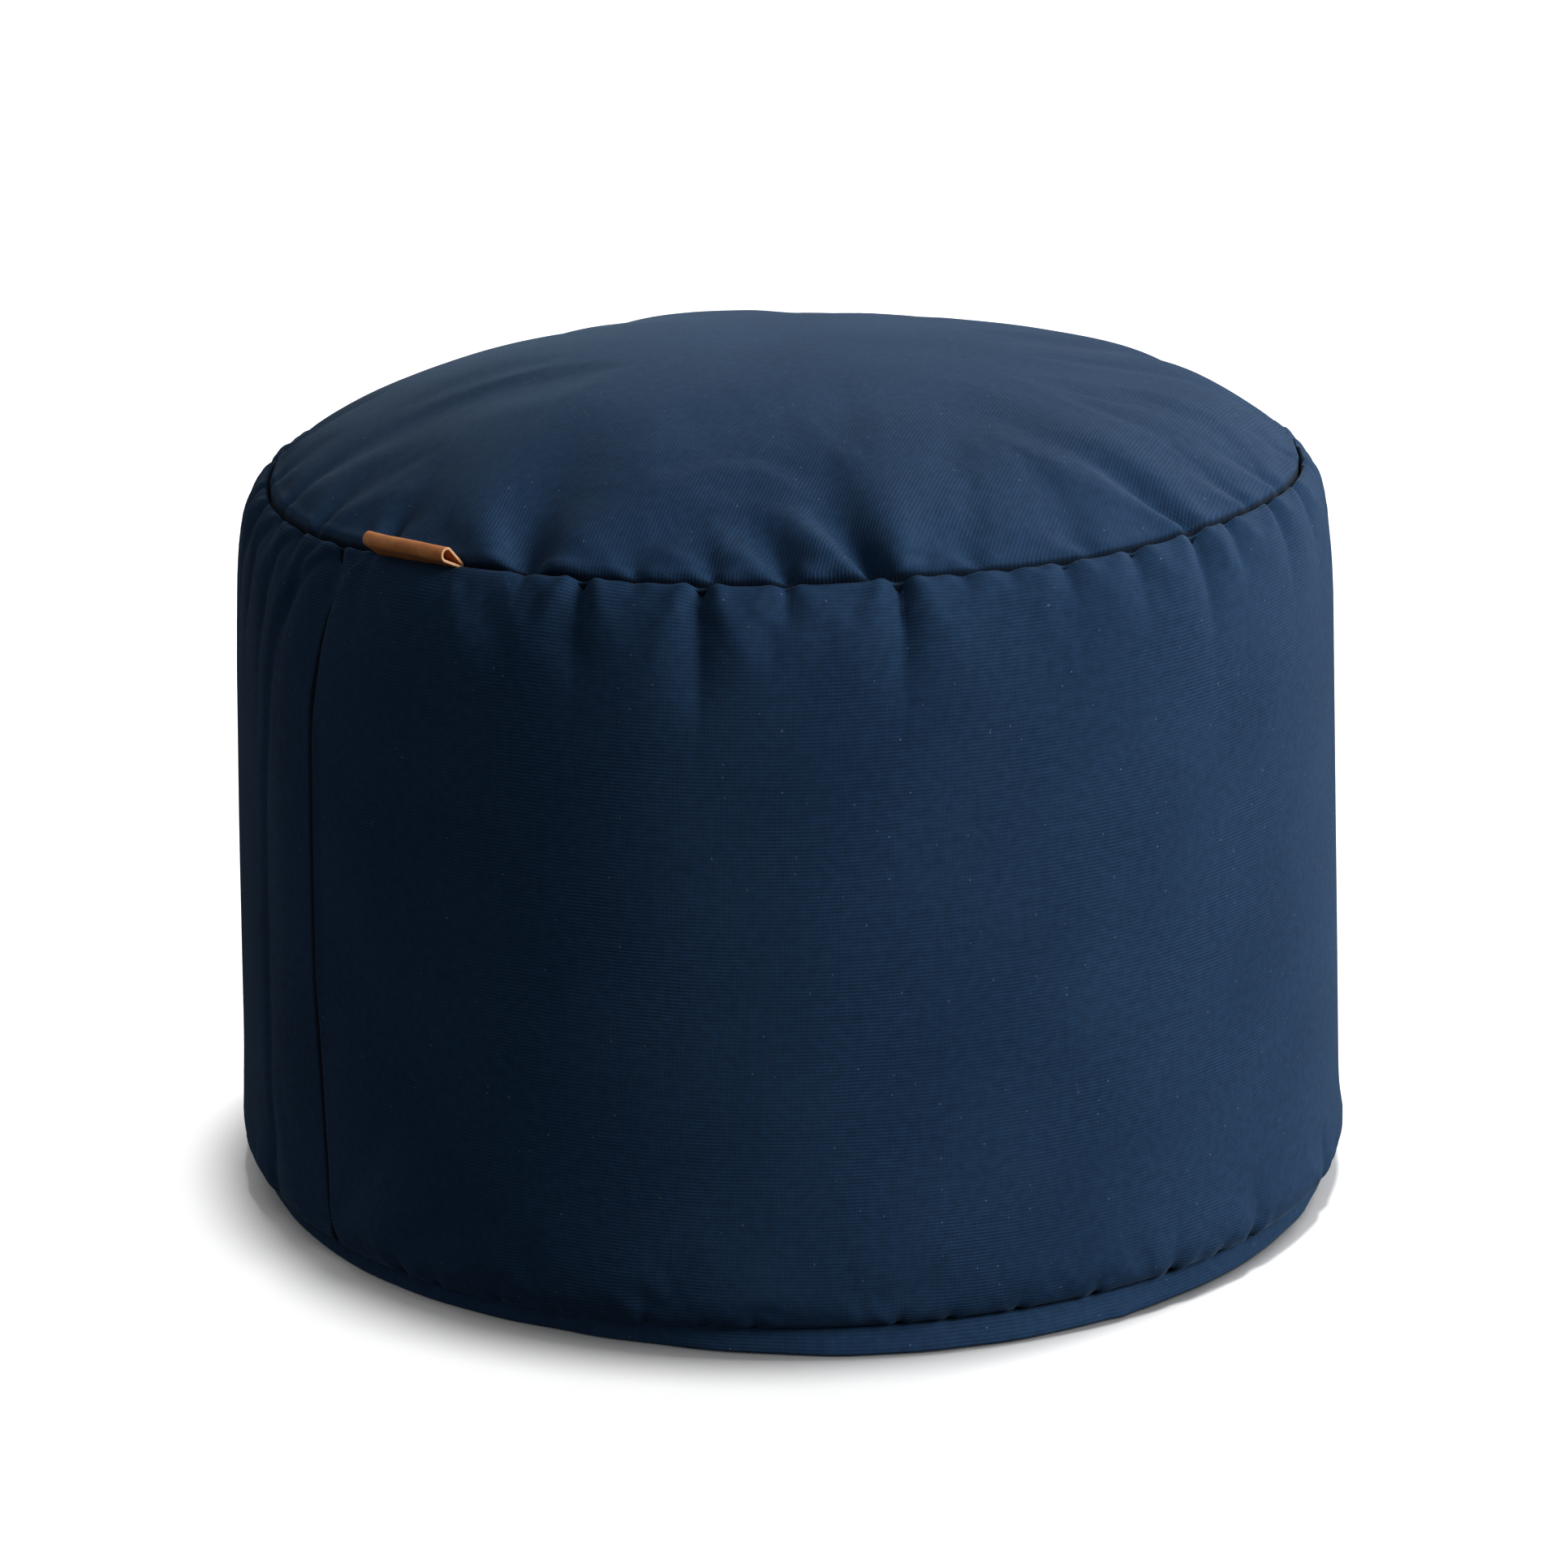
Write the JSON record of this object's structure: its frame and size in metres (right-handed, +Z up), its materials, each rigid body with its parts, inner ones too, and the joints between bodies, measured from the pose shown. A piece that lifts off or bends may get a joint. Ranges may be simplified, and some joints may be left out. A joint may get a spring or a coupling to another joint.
{
  "type": "bean bag pouf",
  "caption": "Round stuffed fabric pouf with a crowned top, a leather tab in its top seam, and a zipped liner of beads inside a zipped cover.",
  "frame": {"origin": "on the floor, at the centre of the pouf's base", "axes": "+Z up; -Y towards the front; +X to the right as seen from the front; the cover's zip runs along X"},
  "size_m": [0.4504, 0.4504, 0.345],
  "materials": {
    "cover_fabric": "matte woven",
    "tab_leather": "satin",
    "zip_tape": "matte woven",
    "zip_coil": "satin nylon",
    "zip_metal": "satin dark enamel",
    "liner_fabric": "matte woven",
    "beads": "matte foam beads"
  },
  "bodies": {
    "pouf": {"top_panel": "cover_fabric", "side_panel": "cover_fabric", "base_panel_front": "cover_fabric", "base_panel_rear": "cover_fabric", "base_welt": "cover_fabric", "leather_tab": "tab_leather", "cover_zip_tape_front": "zip_tape", "cover_zip_tape_rear": "zip_tape", "cover_zip_coil_front": "zip_coil", "cover_zip_coil_rear": "zip_coil", "cover_zip_top_stops": "zip_metal", "cover_zip_bottom_stop": "zip_metal", "liner_top": "liner_fabric", "liner_side": "liner_fabric", "liner_base": "liner_fabric", "liner_zip_tape_front": "zip_tape", "liner_zip_tape_rear": "zip_tape", "liner_zip_coil_front": "zip_coil", "liner_zip_coil_rear": "zip_coil", "liner_zip_top_stops": "zip_metal", "liner_zip_bottom_stop": "zip_metal", "bead_fill": "beads"},
    "zip_slider": {"cover_zip_slider": "zip_metal"},
    "zip_pull": {"cover_zip_pull": "zip_metal"},
    "liner_slider": {"liner_zip_slider": "zip_metal"}
  },
  "joints": [
    {"name": "cover_zip_slide", "type": "slide", "parent": "pouf", "child": "zip_slider", "axis": [-1, 0, 0], "range_m": [0, 0.328]},
    {"name": "cover_zip_pull_hinge", "type": "hinge", "parent": "zip_slider", "child": "zip_pull", "pos_m": [0.1678, 0, 0.0022], "axis": [0, 1, 0], "range_deg": [-170, 0]},
    {"name": "liner_zip_slide", "type": "slide", "parent": "pouf", "child": "liner_slider", "axis": [-1, 0, 0], "range_m": [0, 0.208]}
  ]
}
